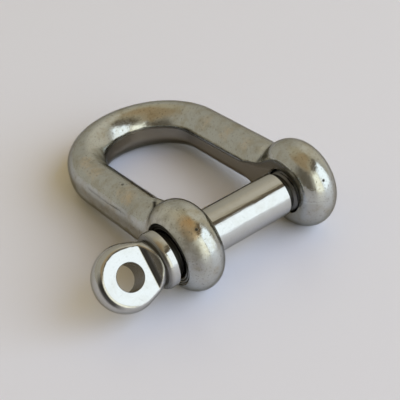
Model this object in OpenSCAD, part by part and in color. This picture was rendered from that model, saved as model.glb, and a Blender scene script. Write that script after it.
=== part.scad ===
// Screw pin D shackle for joining chain: a cast bow and a screw pin with an eye.
// Millimetres. The origin is on the pin's axis, midway between the ears.
// X runs along the pin from its eye to its thread, Y towards the crown, and Z up as the shackle lies.

/* [Bow] */
// Clear width between the two ears
inside_width = 21.9; // [16:0.1:32]
// Clear length from the pin's axis to the inside of the crown
inside_length = 46.1; // [38:0.1:80]
// Diameter of the round edge that runs all along the bar and round the ears
bar_d = 9.7; // [8:0.1:12]
// Straight height between the bar's upper and lower round edges
bar_rise = 1.8; // [0.6:0.1:4]
// Depth of the flat that is left along the inside of the bow
flat_cut = 0.25; // [0.1:0.05:0.8]
// Depth of the flat that is left along the outside of the bow
back_cut = 0.1; // [0.05:0.05:0.4]
// Metal round the pin in each ear
ear_wall = 5.3; // [4:0.1:8]
// Radius of the hollow between each leg and its ear
neck_r = 2.4; // [1:0.1:5]

/* [Pin] */
// Diameter of the plain shank
pin_d = 10; // [8:0.1:12]
// How far the pin is unscrewed from home, one turn of its thread
back_off = 1.5; // [0:0.1:4.5]
// Gap that is left between the shank's shoulder and the threaded ear when the pin is home
shoulder_gap = 0.3; // [0.1:0.05:1]
// Bevel of the shank's shoulder and of the threaded tip
tip_bevel = 0.7; // [0.3:0.05:1]
// Step from the shank out to the rim of the collar
collar_step = 1.4; // [1:0.1:3]
// Thickness of the collar
collar_t = 2.7; // [1.5:0.1:5]
// Bevel round both rims of the collar
collar_bevel = 0.35; // [0.1:0.05:0.6]

/* [Eye] */
// Diameter of the hole in the eye
eye_hole_d = 6; // [4:0.1:8]
// Width of the flat face round the hole
eye_face = 3.1; // [2:0.1:6]
// How far the round rim of the eye bulges past its flat faces
eye_bulge = 1.1; // [0.4:0.05:2]
// Thickness of the eye between its flat faces
eye_t = 6; // [4:0.1:8]
// Distance from the collar to the middle of the eye
eye_reach = 6.7; // [5.5:0.1:12]
// Step from the rim of the collar in to the stem of the eye
stem_step = 0.7; // [0.3:0.1:1.2]
// Radius of the milled hollow between the flat faces and the collar
eye_fillet = 2.3; // [1:0.1:2.6]
// Turn of the eye about the pin, from lying flat
eye_turn = 50; // [0:1:180]

/* [Fits] */
// Radial play of the shank in the plain ear
pin_play = 0.15; // [0.1:0.05:0.4]
// Radial play of the thread, drawn as a plain cylinder, in the threaded ear
thread_play = 0.1; // [0.05:0.05:0.3]
// Depth to which the thread's crests lie under the shank
thread_drop = 0.1; // [0.05:0.05:0.4]
// Depth of the milled seat for the collar
seat_depth = 0.5; // [0.2:0.05:1.2]
// Radial play of the collar in its seat
seat_play = 0.3; // [0.1:0.05:0.6]
// Bevel round the mouths of the pin holes
mouth_bevel = 0.4; // [0.2:0.05:0.8]

/* [Hidden] */
$fn = 96;
// Room by which a cutter passes the face that it cuts
past = 1;

// Bow, with u measured outwards from the flat inner wall
half_width = inside_width / 2;
round_r = bar_d / 2;
core_u = round_r - flat_cut;
bar_w = core_u + round_r - back_cut;
bar_h = bar_d + bar_rise;
leg_l = inside_length - half_width;
ear_r = pin_d / 2 + ear_wall;

// The hollow's centre, where its round touches both the ear's rim and the leg
neck_z = bar_h / 2 + neck_r;
neck_y = sqrt(pow(ear_r + neck_r, 2) - pow(neck_z, 2));
neck_span = atan2(neck_y, neck_z);
// The web is sunk this far, so that it cuts into the ear and the leg instead of grazing them
neck_sink = neck_r / 24;

// Tilt at which the ears and the crown lie on one plane
crown_y = inside_length + core_u;
lie_angle = asin((ear_r - round_r) / norm([crown_y, bar_rise / 2])) - atan2(bar_rise / 2, crown_y);

// Pin, with its places along X as it lies
collar_r = pin_d / 2 + collar_step;
thread_r = pin_d / 2 - thread_drop;
seat_x = -half_width - bar_w + seat_depth;
collar_back = seat_x - back_off;
collar_front = collar_back - collar_t;
shoulder_x = half_width - shoulder_gap - back_off;
tip_x = half_width + bar_w - back_off;
eye_x = collar_front - eye_reach;
stem_r = collar_r - stem_step;
face_r = eye_hole_d / 2 + eye_face;
rim_r = face_r + eye_bulge;
// Radius of the arc that bulges from one flat face of the eye to the other
rim_arc = (pow(eye_t / 2, 2) + pow(eye_bulge, 2)) / (2 * eye_bulge);

// Lays a revolved solid's axis along X
module along_x() {
    rotate([0, 90, 0]) children();
}

// The same thing on both sides of the bow
module both_sides() {
    children();
    mirror([1, 0, 0]) children();
}

// Section of the bar: two rounds with a short straight between them, cut flat on the inside
module bar_section() {
    intersection() {
        union() {
            for (side = [-1, 1])
                translate([core_u, side * bar_rise / 2]) circle(d = bar_d);
            translate([core_u - round_r, -bar_rise / 2]) square([bar_d, bar_rise]);
        }
        translate([0, -bar_h]) square([bar_w, 2 * bar_h]);
    }
}

// Half section of an ear, radius against u: a disc with the bar's round for its rim
module ear_section() {
    intersection() {
        union() {
            square([ear_r - round_r, bar_w]);
            translate([ear_r - round_r, core_u]) circle(d = bar_d);
        }
        square([2 * ear_r, bar_w]);
    }
}

// Section of the web in the hollow, radius from the hollow's centre against u
module neck_section() {
    core_r = neck_r + neck_sink + round_r;
    intersection() {
        union() {
            translate([core_r, core_u]) circle(d = bar_d);
            translate([core_r, core_u - round_r]) square([round_r / 2, bar_d]);
        }
        square([2 * core_r, bar_w]);
    }
}

// Web that rounds the corner between a leg and its ear, above (side 1) or below (side -1)
module neck(side) {
    translate([half_width, neck_y, side * neck_z])
        along_x() rotate([0, 0, side > 0 ? -neck_span : 180])
            rotate_extrude(angle = neck_span) neck_section();
}

// One leg with its ear and the hollows between them, before drilling
module leg() {
    translate([half_width, leg_l, 0]) rotate([90, 0, 0])
        linear_extrude(leg_l) bar_section();
    translate([half_width, 0, 0]) along_x()
        rotate_extrude() ear_section();
    for (side = [-1, 1]) neck(side);
}

// A hole along the pin's axis through the ear on the +X side, bevelled where it opens at u = 0 and mouth_u
module ear_hole(hole_r, mouth_u) {
    translate([half_width, 0, 0]) along_x() {
        translate([0, 0, -past]) cylinder(r = hole_r, h = bar_w + 2 * past);
        cylinder(r1 = hole_r + mouth_bevel, r2 = hole_r, h = mouth_bevel);
        translate([0, 0, mouth_u - mouth_bevel])
            cylinder(r1 = hole_r, r2 = hole_r + mouth_bevel, h = mouth_bevel);
    }
}

module bow() {
    color("#8f8c80") rotate([-lie_angle, 0, 0]) difference() {
        union() {
            translate([0, leg_l, 0])
                rotate_extrude(angle = 180) translate([half_width, 0]) bar_section();
            both_sides() leg();
        }
        ear_hole(thread_r + thread_play, bar_w);
        mirror([1, 0, 0]) ear_hole(pin_d / 2 + pin_play, bar_w - seat_depth);
        translate([seat_x - seat_depth - past, 0, 0]) along_x()
            cylinder(r = collar_r + seat_play, h = seat_depth + past);
    }
}

// Collar, shank, shoulder and threaded tip, turned about the pin's axis
module turned_pin() {
    along_x() rotate_extrude() polygon([
        [0, collar_front],
        [collar_r - collar_bevel, collar_front],
        [collar_r, collar_front + collar_bevel],
        [collar_r, collar_back - collar_bevel],
        [collar_r - collar_bevel, collar_back],
        [pin_d / 2, collar_back],
        [pin_d / 2, shoulder_x],
        [thread_r - tip_bevel, shoulder_x + tip_bevel],
        [thread_r - tip_bevel, shoulder_x + 2 * tip_bevel],
        [thread_r, shoulder_x + 3 * tip_bevel],
        [thread_r, tip_x - tip_bevel],
        [thread_r - tip_bevel, tip_x],
        [0, tip_x]
    ]);
}

// Side view of the stem: a slab whose two flat faces curve out to the collar
module stem_profile() {
    hollow_x = collar_front - eye_fillet;
    hollow_z = eye_t / 2 + eye_fillet;
    translate([eye_x, -eye_t / 2]) square([eye_reach, eye_t]);
    difference() {
        translate([hollow_x, -hollow_z]) square([eye_fillet + collar_t / 2, 2 * hollow_z]);
        for (side = [-1, 1])
            translate([hollow_x, side * hollow_z]) circle(r = eye_fillet);
    }
}

// Stem of the eye: a round bar that is milled to that side view
module eye_stem() {
    intersection() {
        translate([eye_x, 0, 0]) along_x() cylinder(r = stem_r, h = eye_reach + collar_t / 2);
        rotate([90, 0, 0]) linear_extrude(4 * stem_r, center = true) stem_profile();
    }
}

// Disc of the eye, with a rim that bulges between its flat faces
module eye_disc() {
    translate([eye_x, 0, 0]) rotate_extrude() intersection() {
        translate([rim_r - rim_arc, 0]) circle(r = rim_arc);
        translate([0, -eye_t / 2]) square([rim_r, eye_t]);
    }
}

module screw_pin() {
    color("#bab8b0") rotate([eye_turn, 0, 0]) difference() {
        union() {
            turned_pin();
            eye_stem();
            eye_disc();
        }
        translate([eye_x, 0, -eye_t / 2 - past]) cylinder(d = eye_hole_d, h = eye_t + 2 * past);
    }
}

bow();
screw_pin();
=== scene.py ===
import bpy
import numpy as np
from mathutils import Matrix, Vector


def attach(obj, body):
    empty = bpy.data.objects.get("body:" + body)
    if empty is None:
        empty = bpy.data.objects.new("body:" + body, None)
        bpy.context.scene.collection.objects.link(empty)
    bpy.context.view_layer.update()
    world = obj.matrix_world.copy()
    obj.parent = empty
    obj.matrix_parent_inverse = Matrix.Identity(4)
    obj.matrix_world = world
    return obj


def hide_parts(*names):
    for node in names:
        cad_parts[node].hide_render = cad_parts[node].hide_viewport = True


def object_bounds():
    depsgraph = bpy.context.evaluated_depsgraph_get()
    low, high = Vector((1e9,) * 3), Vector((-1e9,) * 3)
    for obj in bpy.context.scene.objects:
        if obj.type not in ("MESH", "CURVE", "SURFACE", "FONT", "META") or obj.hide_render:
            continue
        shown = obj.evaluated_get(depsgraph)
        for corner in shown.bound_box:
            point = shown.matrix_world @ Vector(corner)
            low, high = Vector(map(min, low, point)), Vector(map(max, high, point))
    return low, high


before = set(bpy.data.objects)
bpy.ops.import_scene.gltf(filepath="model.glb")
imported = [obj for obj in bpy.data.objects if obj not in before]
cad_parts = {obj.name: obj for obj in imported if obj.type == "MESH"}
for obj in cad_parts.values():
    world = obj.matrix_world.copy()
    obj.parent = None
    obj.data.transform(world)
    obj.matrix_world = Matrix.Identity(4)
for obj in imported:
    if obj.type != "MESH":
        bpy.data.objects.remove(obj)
cad_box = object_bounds()

# Bow
# One stainless casting: a thick bar with round edges, bent to a D, with a domed ear on each end.
# It is ground and tumbled to a soft polish with a few casting pits, then drilled for the pin. The ear by
# the eye is spot-faced for the collar, and the other ear is tapped.

# Sizes in millimetres, in the bow's own flat position
mm = 0.001
half_width = 10.95
inside_length = 46.1
round_r = 4.85
bar_rise = 1.8
flat_cut = 0.25
back_cut = 0.1
ear_r = 10.3
neck_r = 2.4
flat_edge_soft = 0.35
waver_depth = 0.03
core_u = round_r - flat_cut
core_x = half_width + core_u
back_x = core_x + round_r - back_cut
leg_l = inside_length - half_width
crown_y = inside_length + core_u
sheet_r = ear_r - round_r
flat_reach = np.sqrt(round_r ** 2 - core_u ** 2)
neck_z = round_r + bar_rise / 2 + neck_r
neck_y = np.sqrt((ear_r + neck_r) ** 2 - neck_z ** 2)
lie = np.arcsin(sheet_r / np.hypot(crown_y, bar_rise / 2)) - np.arctan2(bar_rise / 2, crown_y)

# Bevel ground along the inner edges: it clears the ears, bites past the neck and grows along the leg
bevel_arc = 10.0
bevel_lean = np.radians(42)
bevel_soft = 0.5
bevel_clear = -1.0
bevel_bite = 1.5
bevel_growth = 0.1
bevel_from_y = 8
bevel_full_y = 14
bevel_growth_l = 24

# Thin web against the inner face, between the flat of the leg and the flat of the ear
web_y = 11.4
web_t = 0.7
web_soft = 1.2
ear_flat_r = sheet_r + flat_reach
leg_flat_z = bar_rise / 2 + flat_reach
web_turn = np.arctan2(leg_flat_z, web_y) + np.arccos(ear_flat_r / np.hypot(web_y, leg_flat_z))

# A ragged line of dents down the neck by the eye, and other dents: place, radius, depth and how dark they are
# painted. The dark is painted shade in the neck's crease, at the far neck and in the two broad shallow ones
dents_and_shade = [
    # Down the crease of the neck by the eye, darkened with painted shade
    ((-14.4, 11.4, 5.5), 0.7, 0.08, 0.6),
    ((-15.1, 10.6, 5.66), 0.75, 0.14, 1.1),
    ((-15.5, 10.0, 5.67), 0.65, 0.14, 1.0),
    ((-15.85, 9.5, 5.68), 0.7, 0.14, 1.1),
    ((-16.3, 9.1, 5.7), 0.75, 0.1, 0.55),
    ((-16.8, 8.7, 5.73), 0.9, 0.08, 0.5),
    ((-17.6, 8.15, 5.69), 1.1, 0.07, 0.42),
    ((-18.4, 7.6, 5.6), 1.2, 0.06, 0.36),
    ((-18.9, 7.5, 4.94), 1.2, 0.05, 0.3),
    # Painted shade at the inner edge of the far neck
    ((11.4, 8.3, 4.4), 1.1, 0.04, 0.7),
    ((12.2, 8.15, 4.85), 0.9, 0.03, 0.5),
    # Broad painted shade, low on the front of the ear by the eye and on the outside of the near leg
    ((-18.7, -8.7, 1.6), 5.0, 0.01, 0.24),
    ((-19.9, 16.0, 3.0), 5.0, 0.01, 0.16),
    ((5.5, 44.8, 2.8), 0.9, 0.08, 0.6),
]


def round_max(a, b, soft):
    """The larger of two distances; where they differ by less than soft, a parabola rounds the edge off."""
    gap = np.clip(soft - np.abs(a - b), 0, None)
    return np.maximum(a, b) + gap * gap / (4 * soft)


def across_bow(x, y):
    """Distance outwards from the bow's middle: X along the legs, and the radius of the crown's bend past them."""
    return np.where(y > leg_l, np.hypot(x, y - leg_l), np.abs(x))


def core_distance(y, z):
    """Distance, in the plane of an ear, from the flat sheet that the bow's round edge is wrapped round.

    The sheet is a strip along the leg and a disc in the ear. In the wedge between them the distance is
    measured from an arc about the hollow's centre, which touches both.
    """
    strip = np.where(y > 0, z - bar_rise / 2, np.hypot(y, np.maximum(z - bar_rise / 2, 0)))
    disc = np.hypot(y, z) - sheet_r
    dy, dz = y - neck_y, z - neck_z
    in_wedge = (dy < 0) & (dz < 0) & (dy * neck_z > dz * neck_y)
    return np.where(in_wedge, neck_r + round_r - np.hypot(dy, dz), np.minimum(strip, disc))


def web_distance(y, z):
    """Distance, in the plane of the inner face, from the edge of the web.

    The edge is the straight line that touches the ear's flat and meets the leg's.
    """
    return y * np.cos(web_turn) + z * np.sin(web_turn) - ear_flat_r


def bevel_depth(y):
    """How deep the inner edges of the bar are ground off: not at all in the ears, and most at the crown.

    It is a smooth step past the neck, and then a slow straight growth along the leg.
    """
    past_neck = np.clip((y - bevel_from_y) / (bevel_full_y - bevel_from_y), 0, 1)
    along_leg = np.clip((y - bevel_full_y) / bevel_growth_l, 0, 1)
    return bevel_bite * past_neck ** 2 * (3 - 2 * past_neck) + bevel_clear + bevel_growth * along_leg


def cast_waver(p):
    """Slow hollows of a cast and ground skin, from nothing to waver_depth.

    Two crossed sine waves are multiplied, and a third is added.
    """
    x, y, z = np.moveaxis(p, -1, 0)
    crossed = np.sin(0.62 * x + 0.31 * y + 0.7) * np.sin(0.55 * z - 0.42 * y)
    waves = crossed + np.sin(0.47 * y + 0.66 * z + 1.9)
    return waver_depth * (0.5 + waves / 4)


def pit_fall(p, place, radius):
    """A pit's depth as a share: 1 in its middle, falling to 0 at its radius as a smooth bell."""
    far = np.sum((p - np.array(place)) ** 2, axis=-1) / radius ** 2
    return np.clip(1 - far, 0, None) ** 2


def bow_skin(p):
    """Signed distance of the bow before it is cut flat: the core sheet swept by a round.

    On the inside a larger arc grinds the round down to a bevel above and below. On the outside the round is
    pressed a little flatter. A thin web against the inner face widens it between the leg and the ear.
    """
    x, y, z = p[..., 0], p[..., 1], np.abs(p[..., 2])
    across = across_bow(x, y)
    out = across - core_x
    off_core = np.maximum(core_distance(y, z), 0)
    skin = np.hypot(np.where(out > 0, out * round_r / (round_r - back_cut), out), off_core) - round_r
    behind = bevel_arc - round_r + bevel_depth(y)
    bevel = np.hypot(behind * np.cos(bevel_lean) - out, behind * np.sin(bevel_lean) + off_core) - bevel_arc
    skin = round_max(skin, bevel, bevel_soft)
    web = np.maximum(web_distance(y, z), across - half_width - web_t)
    web = np.maximum(web, ear_flat_r * np.cos(web_turn) - y)
    return -round_max(-skin, -web, web_soft)


def bow_field(p):
    """Signed distance of the bow: its skin cut flat on the inside, with slow hollows and pits."""
    inside_cut = half_width - across_bow(p[..., 0], p[..., 1])
    field = round_max(bow_skin(p), inside_cut, flat_edge_soft) + cast_waver(p)
    for place, radius, depth, _ in dents_and_shade:
        field = field + depth * pit_fall(p, place, radius)
    return field


def meet(field, start, heading, reach):
    """How far along each heading the field turns positive, found by halving the reach again and again."""
    halvings = 32
    near = np.zeros(start.shape[:-1])
    far = np.full(start.shape[:-1], float(reach))
    for _ in range(halvings):
        middle = (near + far) / 2
        inside = field(start + middle[..., None] * heading) < 0
        near = np.where(inside, middle, near)
        far = np.where(inside, far, middle)
    return (near + far) / 2


def bow_rings(step, round_points, flat_points):
    """Rings of points from the front of one ear, along its leg, round the crown and back to the other ear.

    Each ring is a section square to the bar's middle line. Its points are found along rays from that line,
    spread so that two of them always lie on the edges of the inner flat, found along the flat itself.
    """
    first_tilt, ear_step = 0.02, 0.8 * step
    least_flat_angle = 0.15
    flat_search, skin_search = 9, 16
    tilt = np.arange(first_tilt, np.pi / 2, ear_step / ear_r)
    one_side = np.concatenate([-ear_r * np.cos(tilt), np.arange(0, leg_l, step)])
    turn = np.linspace(0, np.pi, int(np.pi * core_x / step))
    y = np.concatenate([one_side, leg_l + core_x * np.sin(turn), one_side[::-1]])
    swing = np.concatenate([0 * one_side, turn, 0 * one_side + np.pi])
    x = core_x * np.cos(swing)
    outwards = np.stack([np.cos(swing), np.sin(swing), 0 * swing], -1)
    upwards = np.array([0.0, 0.0, 1.0])
    middle = np.stack([x, y, 0 * x], -1)
    flat_height = meet(bow_skin, middle - core_u * outwards, upwards + 0 * outwards, flat_search)
    edge = np.minimum(np.arctan2(flat_height, -core_u), np.pi - least_flat_angle)[:, None]
    over = np.linspace(-1, 1, round_points, endpoint=False)
    under = np.linspace(0, 1, flat_points, endpoint=False)
    angle = np.concatenate([edge * over, edge + 2 * (np.pi - edge) * under], axis=1)
    heading = outwards[:, None] * np.cos(angle)[..., None] + upwards * np.sin(angle)[..., None]
    start = middle[:, None] + 0 * heading
    return start + meet(bow_field, start, heading, skin_search)[..., None] * heading


def turn_about_pin(p, angle):
    """Points turned about the X axis, from Y towards Z."""
    c, s = np.cos(angle), np.sin(angle)
    return np.stack([p[..., 0], c * p[..., 1] - s * p[..., 2], s * p[..., 1] + c * p[..., 2]], -1)


def rings_about_pin(x, radius, angle):
    """Rings round the X axis: a row for each place along it, with that row's radius at each angle."""
    return np.stack([x + 0 * angle, radius * np.cos(angle), radius * np.sin(angle)], -1)


def ring_mesh(name, rings):
    """A closed skin: quads between each ring and the next, and a fan to the middle of the first and last ring."""
    count, around = rings.shape[:2]
    here = np.arange(count * around).reshape(count, around)
    beside = np.roll(here, -1, axis=1)
    quads = np.stack([here[:-1], here[1:], beside[1:], beside[:-1]], -1).reshape(-1, 4)
    first, last = count * around, count * around + 1
    first_fan = np.stack([here[0], beside[0], np.full(around, first)], -1)
    last_fan = np.stack([beside[-1], here[-1], np.full(around, last)], -1)
    middles = np.stack([rings[0].mean(axis=0), rings[-1].mean(axis=0)])
    points = np.concatenate([rings.reshape(-1, 3), middles]) * mm
    mesh = bpy.data.meshes.new(name)
    faces = quads.tolist() + first_fan.tolist() + last_fan.tolist()
    mesh.from_pydata(points.tolist(), [], faces, shade_flat=False)
    piece = bpy.data.objects.new(name, mesh)
    bpy.context.scene.collection.objects.link(piece)
    return piece


def spun(profile, around):
    """Rings about the X axis from (x, radius) pairs, from the last to the first so that the faces point out."""
    angle = np.linspace(0, 2 * np.pi, around, endpoint=False)
    x, radius = np.array(profile).T[..., None]
    return rings_about_pin(x, radius, angle)[::-1]


def mesh_points(piece):
    """A piece's points in millimetres."""
    flat = np.empty(3 * len(piece.data.vertices))
    piece.data.vertices.foreach_get("co", flat)
    return flat.reshape(-1, 3) / mm


def store_mask(piece, name, values):
    """Keeps one number for each point of a piece, for its material to read."""
    mask = piece.data.attributes.new(name, "FLOAT", "POINT")
    mask.data.foreach_set("value", values.astype(np.float32))


def read_mask(piece, name):
    """The numbers that store_mask kept, as a cut has carried them along."""
    values = np.empty(len(piece.data.vertices), np.float32)
    piece.data.attributes[name].data.foreach_get("value", values)
    return values


def cut_away(piece, cutter):
    """Takes the cutter's solid out of a piece and leaves the result as its mesh."""
    cutting = piece.modifiers.new("cutting", "BOOLEAN")
    cutting.operation = "DIFFERENCE"
    cutting.solver = "EXACT"
    cutting.object = cutter
    result = piece.evaluated_get(bpy.context.evaluated_depsgraph_get())
    mesh = bpy.data.meshes.new_from_object(result)
    piece.modifiers.remove(cutting)
    piece.data = mesh
    bpy.data.objects.remove(cutter)


# Holes: plain with a milled seat in the ear by the eye, tapped in the other, bevelled at their mouths. The
# tool marks lie a little under the seat, so that the collar clears them when the pin is home.
pitch = 1.5
thread_flat = 0.125
plain_r = 5.15
seat_r = 7.15
dark_seat_r = 6.7
seat_depth = 0.5
seat_clear = 0.03
tool_mark = 0.12
mark_inset = 0.12
mark_count = 6
tapped_crest = 5.0
tapped_root = 5.4
mouth_bevel = 0.4
past = 1.5
seat_x = -back_x + seat_depth
ridge_x = seat_x + seat_clear
mark_radii = np.linspace(seat_r - mark_inset, plain_r + mouth_bevel, mark_count)
seat_marks = [(ridge_x + tool_mark * (turn % 2), radius) for turn, radius in enumerate(mark_radii)]
plain_profile = [
    (-back_x - past, seat_r),
    (ridge_x + tool_mark, seat_r),
    *seat_marks,
    (ridge_x + mouth_bevel, plain_r),
    (-half_width - mouth_bevel, plain_r),
    (-half_width, plain_r + mouth_bevel),
    (-half_width + past, plain_r + mouth_bevel),
]
plain_around = 144


def thread_radius(x, angle, crest, root):
    """Radius on a right-hand thread: a 60 degree ridge that climbs one pitch a turn, flat at crest and root."""
    phase = (x / pitch - angle / (2 * np.pi)) % 1
    ridge = np.clip((1 + 2 * thread_flat) * np.abs(2 * phase - 1) - thread_flat, 0, 1)
    return root + (crest - root) * ridge


tap_rings_a_turn = 14
tap_around = 128
tap_x = np.arange(half_width - past, back_x + past, pitch / tap_rings_a_turn)[:, None]
tap_angle = np.linspace(0, 2 * np.pi, tap_around, endpoint=False)
tap_mouth = tapped_crest + mouth_bevel - np.minimum(tap_x - half_width, back_x - tap_x)
tap_mouth = np.minimum(tap_mouth, tapped_crest + mouth_bevel)
tap_r = np.maximum(thread_radius(tap_x, tap_angle, tapped_root, tapped_crest), tap_mouth)
tapped_rings = rings_about_pin(tap_x, tap_r, tap_angle)

ring_step = 0.4
ring_round_points = 132
ring_flat_points = 28
crisp_angle = np.radians(32)
bow_ring_points = bow_rings(ring_step, ring_round_points, ring_flat_points)
bow = ring_mesh("bow_casting", turn_about_pin(bow_ring_points, -lie))

# Painted shade in the crease along the upper edge of the inner flat, from that edge downwards
crease_dark = (0.45, 0.92, 0.9, 0.5)
ring_crease = np.zeros(bow_ring_points.shape[:2])
ring_crease[:, ring_round_points:ring_round_points + len(crease_dark)] = crease_dark
end_middles = [0, 0]
store_mask(bow, "crease", np.append(ring_crease.ravel(), end_middles))
cut_away(bow, ring_mesh("plain_hole", spun(plain_profile, plain_around)))
cut_away(bow, ring_mesh("tapped_hole", tapped_rings[::-1]))
bow.data.set_sharp_from_angle(angle=crisp_angle)


def fade(value, full, none):
    """A straight fade from 1 at one value to 0 at another."""
    return np.clip((none - value) / (none - full), 0, 1)


on_skin = turn_about_pin(mesh_points(bow), lie)
bow_x, bow_y, bow_z = on_skin.T
bow_across = across_bow(bow_x, bow_y)
from_flat = bow_across - half_width
from_pin = np.hypot(bow_y, bow_z)

# Painted shade fills the holes, less of it at the mouth of the tapped one
hole_r = np.where(bow_x < 0, seat_r, tapped_root)
in_hole = fade(from_pin, hole_r - 0.1, hole_r + 0.02) * fade(bow_across, back_x - 0.04, back_x)
tapped_share = 0.85 - 0.6 * fade(from_flat, 0.4, 1.2)
in_hole = in_hole * np.where(bow_x > 0, tapped_share, 1)

# Painted highlights on the tops of the seat's tool marks: the painted shade is left off them, most at the front,
# less beside the pin, and a touch at the rim
ridge_top = (np.abs(bow_x - ridge_x) < tool_mark / 4) & (from_pin > plain_r)
lit_ridge_front = np.clip(-2.5 * bow_y / from_pin - 0.1, 0, 1)
lit_ridge_else = 0.3 * fade(bow_y, 0, 5) + 0.1 * (from_pin > dark_seat_r)
lit_ridges = 0.9 * np.maximum(lit_ridge_front, lit_ridge_else)
seat_shade = in_hole * np.where(ridge_top, 1 - lit_ridges, 1.0)

# Painted shade on the inner face, a dark colour for the shaded inside of the shackle that it mirrors, mostly left
# off at the front of the ears
front_face = 0.75 * fade(bow_y, -5, 2)
inner_shade = np.where(bow_z > 0, fade(from_flat, 0.06, 0.12), fade(from_flat, 1.6, 3.2))
store_mask(bow, "inner_face_shade", inner_shade * (1 - in_hole) * (1 - front_face))
crease = read_mask(bow, "crease") * (1 - in_hole) * (1 - front_face)
most_dent_dark = 0.95
dent_and_shade_dark = sum(dark * pit_fall(on_skin, place, radius) for place, radius, _, dark in dents_and_shade)
dent_and_shade_dark = np.clip(dent_and_shade_dark, 0, most_dent_dark)

# A fine parting line of the mould shows along the outside of the leg by the eye: places along it and how dark
seam_x = -20.03
seam_y = (13.5, 16.8, 19.2, 21.2, 23.7, 27.1, 30.6, 32.1)
seam_z = (2.66, 2.64, 2.56, 2.43, 2.35, 2.4, 2.46, 3.03)
seam_dark = (0, 0.4, 0.65, 0.45, 0.35, 0.35, 0.4, 0)
seam_core, seam_half_width = 0.05, 0.36
from_seam = np.hypot(bow_x - seam_x, bow_z - np.interp(bow_y, seam_y, seam_z))
parting = np.interp(bow_y, seam_y, seam_dark) * fade(from_seam, seam_core, seam_half_width)
store_mask(bow, "grime_and_shade", np.max([seat_shade, crease, dent_and_shade_dark, parting], axis=0))

# The upper face of the ear by the eye is less polished, and so are spots inside the crown and at the far neck:
# place and radius. There the steel is also painted paler, a painted lift of the dark reflections it shows
dull_and_lifted_spots = [
    ((-10.8, 40.2, 3.3), 4.6),
    ((-13.1, 36.9, 4.4), 4.6),
    ((14.2, 8.7, 5.6), 2.6),
]
dull_and_lifted = fade(bow_x, -17.6, -16.4) * fade(bow_y, 6, 9) * fade(bow_z, 5, 1)
for spot_place, spot_r in dull_and_lifted_spots:
    dull_and_lifted = np.maximum(dull_and_lifted, pit_fall(on_skin, spot_place, spot_r))
store_mask(bow, "dull_and_lifted", dull_and_lifted)

# Tan tint, strong on the ear by the eye, where it is a painted reflection of a brown thing in the room, and faint
# along the legs: place, radius and strength
tan_spots = [
    ((-17.4, -4.6, 8.7), 3.6, 1.0),
    ((-16.6, -6.4, 7.5), 2.8, 1.0),
    ((-17.9, -6.2, 7.0), 2.6, 1.0),
    ((-16.6, 36.9, 5.6), 5.0, 0.7),
    ((-17.3, 31.3, 5.4), 5.0, 0.7),
    ((-17.3, 19.6, 5.4), 5.0, 0.7),
    ((-17.8, 15.7, 5.2), 4.0, 0.6),
    ((13.5, 30.5, 4.8), 5.0, 0.65),
    ((13.6, 22.8, 4.9), 5.0, 0.65),
    ((13.6, 15.3, 4.9), 4.5, 0.65),
]
tan_sum = sum(strength * pit_fall(on_skin, place, radius) for place, radius, strength in tan_spots)
store_mask(bow, "tan_tint", np.clip(tan_sum, 0, 1))


def set_node(node, **settings):
    """Sets a node's own values, and for a name that isn't one of them, the input of that name."""
    for name, value in settings.items():
        if hasattr(node, name):
            setattr(node, name, value)
        else:
            node.inputs[name.replace("_", " ").title()].default_value = value


def add_node(tree, kind, **settings):
    """A new node in a tree, with its values and inputs set by name."""
    node = tree.nodes.new(kind)
    set_node(node, **settings)
    return node


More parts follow.
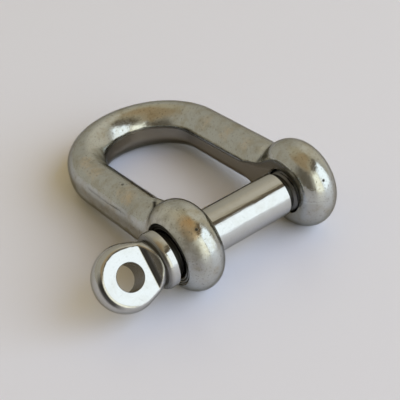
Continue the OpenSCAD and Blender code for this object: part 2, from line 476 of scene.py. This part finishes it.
def steel_finish_group():
    """Polished steel with what use leaves on it, and painted shade.

    Cloud, gloss and grain are smooth noise at their own sizes. Specks are the peaks of a finer noise, and grime
    and painted shade are laid over everything in one near-black colour where their mask says. The grain's height
    is the sum of a coarse and a fine noise, which can be drawn out along an axis, as turning marks are.
    """
    darkening_dulls = 0.3
    fine_to_coarse = 4.3
    fine_share = 0.3
    group = bpy.data.node_groups.new("steel_finish", "ShaderNodeTree")
    sockets = group.interface
    for name, kind in [
        ("Steel", "NodeSocketColor"),
        ("Cloud", "NodeSocketColor"),
        ("Cloud Scale", "NodeSocketFloat"),
        ("Gloss", "NodeSocketFloat"),
        ("Gloss Spread", "NodeSocketFloat"),
        ("Grain Scale", "NodeSocketFloat"),
        ("Grain Stretch", "NodeSocketVector"),
        ("Specks", "NodeSocketFloat"),
        ("Grime And Shade", "NodeSocketFloat"),
    ]:
        sockets.new_socket(name, in_out="INPUT", socket_type=kind)
    for name, kind in [
        ("Color", "NodeSocketColor"),
        ("Roughness", "NodeSocketFloat"),
        ("Grain", "NodeSocketFloat"),
    ]:
        sockets.new_socket(name, in_out="OUTPUT", socket_type=kind)
    given = add_node(group, "NodeGroupInput")
    made = add_node(group, "NodeGroupOutput")
    place = add_node(group, "ShaderNodeTexCoord")
    link = group.links.new

    cloud = add_node(group, "ShaderNodeTexNoise", detail=5.0, roughness=0.65)
    link(place.outputs["Object"], cloud.inputs["Vector"])
    link(given.outputs["Cloud Scale"], cloud.inputs["Scale"])
    spread = add_node(group, "ShaderNodeMapRange", from_min=0.47, from_max=0.68)
    link(cloud.outputs["Fac"], spread.inputs["Value"])
    tone = add_node(group, "ShaderNodeMixRGB")
    link(spread.outputs["Result"], tone.inputs["Fac"])
    link(given.outputs["Steel"], tone.inputs["Color1"])
    link(given.outputs["Cloud"], tone.inputs["Color2"])

    dots = add_node(group, "ShaderNodeTexNoise", scale=2300.0, detail=1.0)
    link(place.outputs["Object"], dots.inputs["Vector"])
    peaks = add_node(group, "ShaderNodeMapRange", from_min=0.62, from_max=0.74)
    link(dots.outputs["Fac"], peaks.inputs["Value"])
    speck = add_node(group, "ShaderNodeMath", operation="MULTIPLY")
    link(peaks.outputs["Result"], speck.inputs[0])
    link(given.outputs["Specks"], speck.inputs[1])
    specked = add_node(group, "ShaderNodeMixRGB", color2=(0.14, 0.12, 0.09, 1))
    link(speck.outputs["Value"], specked.inputs["Fac"])
    link(tone.outputs["Color"], specked.inputs["Color1"])
    # Near-black colour of the grime and of the painted shade, laid over where the mask says
    darkened = add_node(group, "ShaderNodeMixRGB", color2=(0.022, 0.02, 0.018, 1))
    link(given.outputs["Grime And Shade"], darkened.inputs["Fac"])
    link(specked.outputs["Color"], darkened.inputs["Color1"])
    link(darkened.outputs["Color"], made.inputs["Color"])

    patch = add_node(group, "ShaderNodeTexNoise", scale=420.0, detail=3.0)
    link(place.outputs["Object"], patch.inputs["Vector"])
    centred = add_node(group, "ShaderNodeMath", operation="SUBTRACT")
    link(patch.outputs["Fac"], centred.inputs[0])
    centred.inputs[1].default_value = 0.5
    gloss = add_node(group, "ShaderNodeMath", operation="MULTIPLY_ADD")
    link(centred.outputs["Value"], gloss.inputs[0])
    link(given.outputs["Gloss Spread"], gloss.inputs[1])
    link(given.outputs["Gloss"], gloss.inputs[2])
    dulled = add_node(group, "ShaderNodeMath", operation="MULTIPLY_ADD")
    link(given.outputs["Grime And Shade"], dulled.inputs[0])
    dulled.inputs[1].default_value = darkening_dulls
    link(gloss.outputs["Value"], dulled.inputs[2])
    link(dulled.outputs["Value"], made.inputs["Roughness"])

    stretched = add_node(group, "ShaderNodeVectorMath", operation="MULTIPLY")
    link(place.outputs["Object"], stretched.inputs[0])
    link(given.outputs["Grain Stretch"], stretched.inputs[1])
    coarse = add_node(group, "ShaderNodeTexNoise", detail=2.0)
    link(stretched.outputs["Vector"], coarse.inputs["Vector"])
    link(given.outputs["Grain Scale"], coarse.inputs["Scale"])
    fine_scale = add_node(group, "ShaderNodeMath", operation="MULTIPLY")
    link(given.outputs["Grain Scale"], fine_scale.inputs[0])
    fine_scale.inputs[1].default_value = fine_to_coarse
    fine = add_node(group, "ShaderNodeTexNoise", detail=2.0)
    link(stretched.outputs["Vector"], fine.inputs["Vector"])
    link(fine_scale.outputs["Value"], fine.inputs["Scale"])
    grain = add_node(group, "ShaderNodeMath", operation="MULTIPLY_ADD")
    link(fine.outputs["Fac"], grain.inputs[0])
    grain.inputs[1].default_value = fine_share
    link(coarse.outputs["Fac"], grain.inputs[2])
    link(grain.outputs["Value"], made.inputs["Grain"])
    return group


steel_finish = steel_finish_group()


def new_metal(name, edge_tint):
    """A metallic material with the shared finish, its mask of grime and painted shade, and a bump that the grain
    drives.
    """
    material = bpy.data.materials.new(name)
    material.use_nodes = True
    tree = material.node_tree
    link = tree.links.new
    shader = tree.nodes["Principled BSDF"]
    set_node(shader, metallic=1.0, specular_tint=edge_tint)
    finish = add_node(tree, "ShaderNodeGroup", node_tree=steel_finish)
    grime_and_shade = add_node(tree, "ShaderNodeAttribute", attribute_name="grime_and_shade")
    bump = add_node(tree, "ShaderNodeBump")
    link(grime_and_shade.outputs["Fac"], finish.inputs["Grime And Shade"])
    link(finish.outputs["Color"], shader.inputs["Base Color"])
    link(finish.outputs["Roughness"], shader.inputs["Roughness"])
    link(finish.outputs["Grain"], bump.inputs["Height"])
    link(bump.outputs["Normal"], shader.inputs["Normal"])
    return material, finish, bump


cast_steel, cast_finish, cast_bump = new_metal("tumbled_cast_steel", edge_tint=(0.43, 0.41, 0.37, 1))
set_node(
    cast_finish,
    cloud=(0.44, 0.42, 0.355, 1),
    cloud_scale=330.0,
    gloss_spread=0.2,
    grain_scale=950.0,
    grain_stretch=(1, 1, 1),
    specks=0.5,
)
set_node(cast_bump, strength=0.55, distance=0.00006)
cast_tree = cast_steel.node_tree
cast_link = cast_tree.links.new
cast_place = add_node(cast_tree, "ShaderNodeTexCoord")

# Where it is dull, the steel is rougher, and painted paler to lift its dark reflections
dull_lift_mask = add_node(cast_tree, "ShaderNodeAttribute", attribute_name="dull_and_lifted")
dullness = add_node(cast_tree, "ShaderNodeMapRange", to_min=0.17, to_max=0.42)
cast_link(dull_lift_mask.outputs["Fac"], dullness.inputs["Value"])
cast_link(dullness.outputs["Result"], cast_finish.inputs["Gloss"])
lifted_tone = add_node(
    cast_tree,
    "ShaderNodeMixRGB",
    color1=(0.525, 0.535, 0.51, 1),
    color2=(0.655, 0.655, 0.605, 1),
)
cast_link(dull_lift_mask.outputs["Fac"], lifted_tone.inputs["Fac"])

# The tan tint lies in the steel's own colour, with an edge that a noise breaks up; on the ear by the eye it is a
# painted reflection
tan_mask = add_node(cast_tree, "ShaderNodeAttribute", attribute_name="tan_tint")
tan_noise = add_node(cast_tree, "ShaderNodeTexNoise", scale=640.0, detail=5.0, roughness=0.7)
cast_link(cast_place.outputs["Object"], tan_noise.inputs["Vector"])
ragged = add_node(cast_tree, "ShaderNodeMath", operation="MULTIPLY")
cast_link(tan_mask.outputs["Fac"], ragged.inputs[0])
cast_link(tan_noise.outputs["Fac"], ragged.inputs[1])
tan_share = add_node(cast_tree, "ShaderNodeMapRange", from_min=0.2, from_max=0.48, to_max=0.9)
cast_link(ragged.outputs["Value"], tan_share.inputs["Value"])
tan_tone = add_node(cast_tree, "ShaderNodeMixRGB", color2=(0.64, 0.53, 0.38, 1))
cast_link(tan_share.outputs["Result"], tan_tone.inputs["Fac"])
cast_link(lifted_tone.outputs["Color"], tan_tone.inputs["Color1"])
cast_link(tan_tone.outputs["Color"], cast_finish.inputs["Steel"])

# The painted shade of the inner face goes over the finish as a second colour
inner_shade_mask = add_node(cast_tree, "ShaderNodeAttribute", attribute_name="inner_face_shade")
inner_shade_tone = add_node(cast_tree, "ShaderNodeMixRGB", color2=(0.245, 0.225, 0.185, 1))
cast_link(inner_shade_mask.outputs["Fac"], inner_shade_tone.inputs["Fac"])
cast_link(cast_finish.outputs["Color"], inner_shade_tone.inputs["Color1"])
cast_link(inner_shade_tone.outputs["Color"], cast_tree.nodes["Principled BSDF"].inputs["Base Color"])

# Three sharp casting pits, darkest out to half their radius: place in millimetres as the bow lies, radius, and
# how dark. They join the grime and the painted shade.
sharp_pits = [
    ((-16.32, -5.93, 8.31), 0.5, 0.9),
    ((15.18, -8.68, 5.48), 0.42, 0.95),
    ((-16.03, 22.2, 3.73), 0.5, 0.6),
]
darkest = cast_finish.inputs["Grime And Shade"].links[0].from_socket
for pit_place, pit_r, pit_dark in sharp_pits:
    span = add_node(cast_tree, "ShaderNodeVectorMath", operation="DISTANCE")
    cast_link(cast_place.outputs["Object"], span.inputs[0])
    span.inputs[1].default_value = np.array(pit_place) * mm
    spot = add_node(
        cast_tree,
        "ShaderNodeMapRange",
        from_min=pit_r * mm,
        from_max=0.5 * pit_r * mm,
        to_max=pit_dark,
    )
    cast_link(span.outputs["Value"], spot.inputs["Value"])
    worst = add_node(cast_tree, "ShaderNodeMath", operation="MAXIMUM")
    cast_link(darkest, worst.inputs[0])
    cast_link(spot.outputs["Result"], worst.inputs[1])
    darkest = worst.outputs["Value"]
cast_link(darkest, cast_finish.inputs["Grime And Shade"])
bow.data.materials.clear()
bow.data.materials.append(cast_steel)
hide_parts("bow")
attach(bow, "bow")

# Screw pin
# A pin turned from stainless bar: shank, collar and threaded tip, with a flattened eye forged on its head.
# The eye's faces are ground flat and polished and drilled for a key or seizing wire. The pin screws into
# the far ear and is left one turn open.

# Sizes in millimetres, with the eye lying flat
pin_r = 5.0
collar_r = 6.4
collar_t = 2.7
collar_soft = 0.4
collar_front_soft = 1.2
collar_front_lip = 0.2
root_bevel = 0.1
eye_reach = 6.7
eye_half_t = 3.0
eye_hole_r = 3.0
eye_hole_bevel = 0.08
face_r = 6.1
eye_bulge = 1.1
eye_edge_soft = 0.4
eye_blend = 1.6
eye_turn = np.radians(50)
stem_r = 5.6
stem_taper = 0.2
stem_fade = 0.08
stem_fade_l = 4
scoop_l = 2.25
scoop_break = 1.15
scoop_slope, scoop_top_slope = np.tan(np.radians([50, 40]))
shoulder_gap = 0.3
thread_crest = 4.9
tip_bevel = 0.7
tip_ring_inset = 0.6
collar_back = seat_x - pitch
collar_front = collar_back - collar_t
eye_x = collar_front - eye_reach
stem_fade_x = eye_x + stem_fade_l
scoop_root_x = collar_front - scoop_l
shoulder_x = half_width - shoulder_gap - pitch
relief_x = shoulder_x + 2 * tip_bevel
tip_x = back_x - pitch
thread_root = thread_crest - tip_bevel
rim_r = face_r + eye_bulge
rim_arc = (eye_half_t ** 2 + eye_bulge ** 2) / (2 * eye_bulge)
hole_mouth_r = eye_hole_r + eye_hole_bevel


def head_field(p):
    """Signed distance of the eye and its stem, in front of the collar.

    A barrel-rimmed disc and a round bar are blended, then milled to a side view that is a slab with a scoop up
    to the collar on each face, in two slopes, which leaves the face at a crisp edge. The bar tapers to the
    collar and fades away inside the disc.
    """
    x, y, z = np.moveaxis(p, -1, 0)
    disc = np.hypot(np.hypot(x - eye_x, y) - (rim_r - rim_arc), z) - rim_arc
    in_scoop = np.clip(x - scoop_root_x, 0, None)
    in_disc = np.clip(stem_fade_x - x, 0, None)
    bar = np.hypot(y, z) - stem_r + stem_taper * in_scoop + stem_fade * in_disc ** 2
    blank = -round_max(-disc, -bar, eye_blend)
    upper_rise = scoop_slope * scoop_break + scoop_top_slope * (in_scoop - scoop_break)
    rise = np.minimum(scoop_slope * in_scoop, upper_rise)
    side_view = np.abs(z) - (eye_half_t + rise)
    return round_max(blank, side_view, eye_edge_soft)


def head_rings(step, rim_points, face_points):
    """Rings across the pin from the tip of the eye to the collar, with points on the edges of the flat faces.

    The rings are evenly spread round the eye's rim, and the last stands a hair in front of the collar. The
    angles of that ring's points come with them.
    """
    first_swing, last_swing = 0.02, np.radians(158)
    least_gap, last_gap = 0.03, 0.01
    least_face_angle = 0.08
    search = 10
    swing = np.arange(first_swing, last_swing, step / rim_r)
    x = eye_x - rim_r * np.cos(swing)
    x = np.concatenate([x[x < collar_front - least_gap], [collar_front - last_gap]])
    disc_edge = np.sqrt(np.clip(face_r ** 2 - (x - eye_x) ** 2, 0, None))
    bar_edge = np.sqrt(stem_r ** 2 - eye_half_t ** 2)
    edge_y = np.where(x > eye_x, np.maximum(disc_edge, bar_edge), disc_edge)
    edge = np.clip(np.arctan2(eye_half_t, edge_y), 0, np.pi / 2 - least_face_angle)[:, None]
    rim = np.linspace(-1, 1, rim_points, endpoint=False)
    face = np.linspace(0, 1, face_points, endpoint=False)
    half_turn = np.concatenate([edge * rim, edge + (np.pi - 2 * edge) * face], axis=1)
    angle = np.concatenate([half_turn, half_turn + np.pi], axis=1)
    heading = np.stack([0 * angle, np.cos(angle), np.sin(angle)], -1)
    start = np.stack([x, 0 * x, 0 * x], -1)[:, None] + 0 * heading
    return start + meet(head_field, start, heading, search)[..., None] * heading, angle[-1]


def quarter(x, radius, size, from_angle, points=7):
    """Points of a quarter circle about (x, radius), starting at an angle from the X axis and turning clockwise."""
    turn = np.radians(from_angle) - np.linspace(0, np.pi / 2, points)
    return list(zip(x + size * np.cos(turn), radius + size * np.sin(turn)))


eye_step = 0.16
eye_rim_points = 48
eye_face_points = 64
shank_ring_count = 40
thread_rings_a_turn = 16
eye_rings, pin_angle = head_rings(eye_step, eye_rim_points, eye_face_points)
shank_x = np.linspace(collar_back + 0.4, shoulder_x - 0.2, shank_ring_count)
turned_profile = [
    (collar_front, collar_r - collar_front_soft - collar_front_lip),
    *quarter(collar_front + collar_front_soft, collar_r - collar_front_soft, collar_front_soft, 180),
    *quarter(collar_back - collar_soft, collar_r - collar_soft, collar_soft, 90),
    (collar_back, pin_r + root_bevel),
    (collar_back + root_bevel, pin_r),
    *[(x, pin_r) for x in shank_x],
    (shoulder_x, pin_r),
    (shoulder_x + tip_bevel, thread_root),
]
turned_x, turned_r = np.array(turned_profile).T[..., None]
thread_x = np.arange(relief_x, tip_x, pitch / thread_rings_a_turn)[:, None]
run_in = thread_root + thread_x - relief_x
run_out = thread_root + tip_x - thread_x
thread_r = thread_radius(thread_x, pin_angle, thread_crest, thread_root)
thread_r = np.minimum(thread_r, np.minimum(run_in, run_out))
tip_rings_x = np.array([[tip_x], [tip_x]])
tip_rings_r = np.array([[thread_root], [thread_root - tip_ring_inset]])
pin_x = np.concatenate([turned_x, thread_x, tip_rings_x])
pin_radius = np.concatenate([turned_r + 0 * pin_angle, thread_r, tip_rings_r + 0 * pin_angle])
all_rings = np.concatenate([eye_rings, rings_about_pin(pin_x, pin_radius, pin_angle)])

drill_around = 128
drill_profile = [
    (-eye_half_t - past, hole_mouth_r),
    (-eye_half_t, hole_mouth_r),
    (-eye_half_t + eye_hole_bevel, eye_hole_r),
    (eye_half_t - eye_hole_bevel, eye_hole_r),
    (eye_half_t, hole_mouth_r),
    (eye_half_t + past, hole_mouth_r),
]
drill = spun(drill_profile, drill_around)
drill = np.stack([eye_x + drill[..., 1], drill[..., 2], drill[..., 0]], -1)

pin = ring_mesh("screw_pin_turned", turn_about_pin(all_rings[::-1], eye_turn))
cut_away(pin, ring_mesh("eye_drill", turn_about_pin(drill, eye_turn)))
pin.data.set_sharp_from_angle(angle=crisp_angle)

pin_points = mesh_points(pin)
pin_along, pin_y, pin_z = pin_points.T
_, eye_y, eye_z = turn_about_pin(pin_points, -eye_turn).T
from_axis = np.hypot(pin_y, pin_z)
from_eye = np.hypot(pin_along - eye_x, eye_y)
# Margin by which the masks keep clear of an edge
hair = 0.02

# Painted shade fills the thread and the gap behind the collar
past_shoulder = pin_along - shoulder_x
on_thread = 0.75 - 0.6 * fade(past_shoulder, 0.35, 0.7) - 0.15 * fade(past_shoulder, 0, 0.05)
on_thread = on_thread * (1 - 0.75 * fade(tip_x - pin_along, hair, 0.1))
behind_collar = fade(np.abs(pin_along - (collar_back + seat_x) / 2), pitch / 2, pitch / 2 + 0.2)
behind_collar = 0.92 * behind_collar * fade(from_axis, collar_r - 0.5, collar_r - 0.1)

# Painted shade also darkens the scoops, most at their roots, and the front of the collar
from_root = pin_along - scoop_root_x
in_scoop = (from_root > hair) & (np.abs(eye_z) > eye_half_t + hair) & (pin_along < collar_front - hair)
under_edge = fade(from_axis + stem_taper * from_root, stem_r - 0.25, stem_r - 0.05)
in_corner = in_scoop * (0.1 + 0.7 * fade(from_root, 0.7, 1.1)) * under_edge
near_front = fade(np.abs(pin_along - collar_front), 0.3, 1.2)
on_front = 0.55 * near_front * fade(from_axis, collar_r - 0.3, collar_r + 0.3)

# Painted shade also lies on a stretch of the eye's rim, as a painted dark reflection, and inside the mouths of its
# hole
crescent_middle, crescent_full, crescent_end = np.radians([8, 22, 46])
crescent_turn = np.abs(np.arctan2(-eye_y, eye_x - pin_along) - crescent_middle)
dark_crescent = 0.85 * fade(crescent_turn, crescent_full, crescent_end) * (eye_z > 1.6)
dark_crescent = dark_crescent * fade(np.abs(from_eye - face_r - 0.25), 0.2, 0.45)
hole_wall = fade(from_eye, hole_mouth_r - hair, hole_mouth_r + hair) * (pin_along < collar_front)
hole_wall = 0.5 * hole_wall * fade(eye_half_t - np.abs(eye_z), 0.1, 0.3)
# All of the pin's darkening is painted shade
pin_shade = np.max([on_thread, behind_collar, in_corner, on_front, dark_crescent, hole_wall], axis=0)
store_mask(pin, "grime_and_shade", pin_shade)

turned_steel, turned_finish, turned_bump = new_metal("polished_turned_steel", edge_tint=(0.55, 0.53, 0.49, 1))
set_node(
    turned_finish,
    steel=(0.53, 0.525, 0.50, 1),
    cloud=(0.50, 0.49, 0.455, 1),
    cloud_scale=300.0,
    specks=0.1,
    gloss=0.12,
    gloss_spread=0.05,
    grain_scale=800.0,
    grain_stretch=(0.1, 1, 1),
)
set_node(turned_bump, strength=0.5, distance=0.0001)
pin.data.materials.clear()
pin.data.materials.append(turned_steel)
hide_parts("screw_pin")
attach(pin, "screw_pin")

# Floor
# A plain pale table top under the shackle: a board in satin paint, which mirrors a little at low angles.
# It is only the stage.

floor_half = 2.0
floor_z = cad_box[0][2]
corners = [(x * floor_half, y * floor_half, floor_z) for x, y in [(-1, -1), (1, -1), (1, 1), (-1, 1)]]
floor_mesh = bpy.data.meshes.new("table_top")
floor_mesh.from_pydata(corners, [], [(0, 1, 2, 3)])
table_top = bpy.data.objects.new("table_top", floor_mesh)
bpy.context.scene.collection.objects.link(table_top)
paint = bpy.data.materials.new("satin_pale_paint")
paint.use_nodes = True
paint_inputs = paint.node_tree.nodes["Principled BSDF"].inputs
paint_inputs["Base Color"].default_value = (0.765, 0.77, 0.79, 1)
paint_inputs["Roughness"].default_value = 0.3
paint_inputs["Specular IOR Level"].default_value = 0.7
floor_mesh.materials.append(paint)

# Light
# A soft room: warm pale walls, a brown ceiling, a dark corner, and at the front right a tall cool window with
# a dark head over it, which the steel mirrors. A large soft lamp at the window's place lays the shadow to the
# back left, and a weak one overhead fills it.

world = bpy.data.worlds.new("soft_room")
bpy.context.scene.world = world
world.use_nodes = True
room = world.node_tree
room.nodes.clear()
join = room.links.new

wall_colour = (0.50, 0.475, 0.40, 1)
window_bearing = 150
window_azimuth = np.radians(window_bearing)
towards = (np.sin(window_azimuth), np.cos(window_azimuth), 0)
sideways = (np.cos(window_azimuth), -np.sin(window_azimuth), 0)
# Each patch: colour, then the degrees over which it comes and goes, to the sides of the window and in height
all_round = ((-400, -380), (400, 380))
to_zenith = (120, 110)
room_patches = [
    ((0.54, 0.48, 0.34, 1), *all_round, (35, 62), to_zenith),
    ((0.72, 0.68, 0.57, 1), (-125, -85), (-40, -58), (-40, -30), (72, 60)),
    ((0.42, 0.32, 0.19, 1), (42, 75), (180, 150), (36, 56), to_zenith),
    ((0.46, 0.345, 0.20, 1), *all_round, (66, 80), to_zenith),
    ((0.40, 0.375, 0.31, 1), (80, 98), (146, 124), (-40, -30), (38, 16)),
    ((0.17, 0.15, 0.115, 1), (58, 80), (135, 112), (-12, 2), (52, 36)),
    ((0.15, 0.12, 0.08, 1), (-46, -34), (52, 34), (46, 51), (74, 58)),
    ((1.60, 1.76, 1.88, 1), (-38, -28), (17, 15), (-20, -15), (50, 46)),
    ((1.60, 1.62, 1.42, 1), (17, 21), (60, 48), (-20, -15), (48, 40)),
]

look = add_node(room, "ShaderNodeTexCoord")


def along(direction):
    """How far the looked-at direction goes along another."""
    dot = add_node(room, "ShaderNodeVectorMath", operation="DOT_PRODUCT")
    join(look.outputs["Generated"], dot.inputs[0])
    dot.inputs[1].default_value = direction
    return dot.outputs["Value"]


bearing_node = add_node(room, "ShaderNodeMath", operation="ARCTAN2")
join(along(sideways), bearing_node.inputs[0])
join(along(towards), bearing_node.inputs[1])
bearing = bearing_node.outputs["Value"]
height_node = add_node(room, "ShaderNodeMath", operation="ARCSINE")
join(along((0, 0, 1)), height_node.inputs[0])
height = height_node.outputs["Value"]


def step_up(value, low, high):
    """A smooth step from 0 at one angle to 1 at another, in degrees."""
    rise = add_node(room, "ShaderNodeMapRange", interpolation_type="SMOOTHSTEP")
    join(value, rise.inputs["Value"])
    set_node(rise, from_min=np.radians(low), from_max=np.radians(high))
    return rise.outputs["Result"]


def times(a, b):
    """Product of two masks."""
    product = add_node(room, "ShaderNodeMath", operation="MULTIPLY")
    join(a, product.inputs[0])
    join(b, product.inputs[1])
    return product.outputs["Value"]


def patch_of_room(left, right, bottom, top):
    """A soft-edged rectangle of directions: the product of a smooth step at each of its sides.

    Each side is a pair of degrees, where the patch is nothing and where it is full.
    """
    wide = times(step_up(bearing, *left), step_up(bearing, *right))
    tall = times(step_up(height, *bottom), step_up(height, *top))
    return times(wide, tall)


under = None
for patch_colour, *sides in room_patches:
    layer = add_node(room, "ShaderNodeMixRGB", color1=wall_colour, color2=patch_colour)
    join(patch_of_room(*sides), layer.inputs["Fac"])
    if under:
        join(under, layer.inputs["Color1"])
    under = layer.outputs["Color"]
# The room lights the table less than the steel mirrors it, because much of it is hidden behind the viewer
ray = add_node(room, "ShaderNodeLightPath")
table_share = add_node(room, "ShaderNodeMixRGB", blend_type="MULTIPLY", color2=(0.84, 0.73, 0.47, 1))
join(ray.outputs["Is Diffuse Ray"], table_share.inputs["Fac"])
join(under, table_share.inputs["Color1"])
room_light = add_node(room, "ShaderNodeBackground")
join(table_share.outputs["Color"], room_light.inputs["Color"])
room_out = add_node(room, "ShaderNodeOutputWorld")
join(room_light.outputs["Background"], room_out.inputs["Surface"])


def stand_at(thing, place, right, up, back):
    """Sets a lamp or camera at a place, looking against its back vector."""
    matrix = np.eye(4)
    matrix[:3, 0], matrix[:3, 1], matrix[:3, 2], matrix[:3, 3] = right, up, back, place
    thing.matrix_world = Matrix(matrix.tolist())


def soft_lamp(name, elevation, distance, size, energy, colour):
    """A square lamp turned to the shackle from the window's side, left out of the mirrored room."""
    data = bpy.data.lights.new(name, "AREA")
    data.size = size
    data.energy = energy
    data.color = colour
    lamp = bpy.data.objects.new(name, data)
    bpy.context.scene.collection.objects.link(lamp)
    lamp.visible_glossy = False
    a, e = np.radians([window_bearing, elevation])
    back = np.array([np.sin(a) * np.cos(e), np.cos(a) * np.cos(e), np.sin(e)])
    right = np.array([-np.cos(a), np.sin(a), 0.0])
    stand_at(lamp, distance * back, right, np.cross(back, right), back)


soft_lamp("window_lamp", elevation=29, distance=2.6, size=3.3, energy=107.0, colour=(0.525, 0.643, 0.985))
soft_lamp("ceiling_lamp", elevation=88, distance=1.2, size=1.6, energy=1.1, colour=(1.0, 0.9, 0.7))

# Camera
# It looks down on the eye's side of the shackle from the front left, as the photograph does. Its place and
# its lens follow from the outlines of the pin, the ears and the eye.

view_azimuth, view_height, view_roll = np.radians([-33.458, 38.033, -6.133])
view_distance = 217.9 * mm
view_target = np.array([-4.23, 9.983, 0.0]) * mm
focal_px = 993.52
image_px = 400
camera_data = bpy.data.cameras.new("camera")
camera_data.sensor_width = 36.0
camera_data.lens = camera_data.sensor_width * focal_px / image_px
camera_data.clip_start = 0.005
camera = bpy.data.objects.new("camera", camera_data)
bpy.context.scene.collection.objects.link(camera)
view_back = np.array([
    np.sin(view_azimuth) * np.cos(view_height),
    -np.cos(view_azimuth) * np.cos(view_height),
    np.sin(view_height),
])
level = np.array([np.cos(view_azimuth), np.sin(view_azimuth), 0.0])
upright = np.cross(view_back, level)
view_right = np.cos(view_roll) * level + np.sin(view_roll) * upright
view_up = np.cos(view_roll) * upright - np.sin(view_roll) * level
stand_at(camera, view_target + view_distance * view_back, view_right, view_up, view_back)
bpy.context.scene.camera = camera
bpy.context.scene.view_settings.view_transform = "Standard"
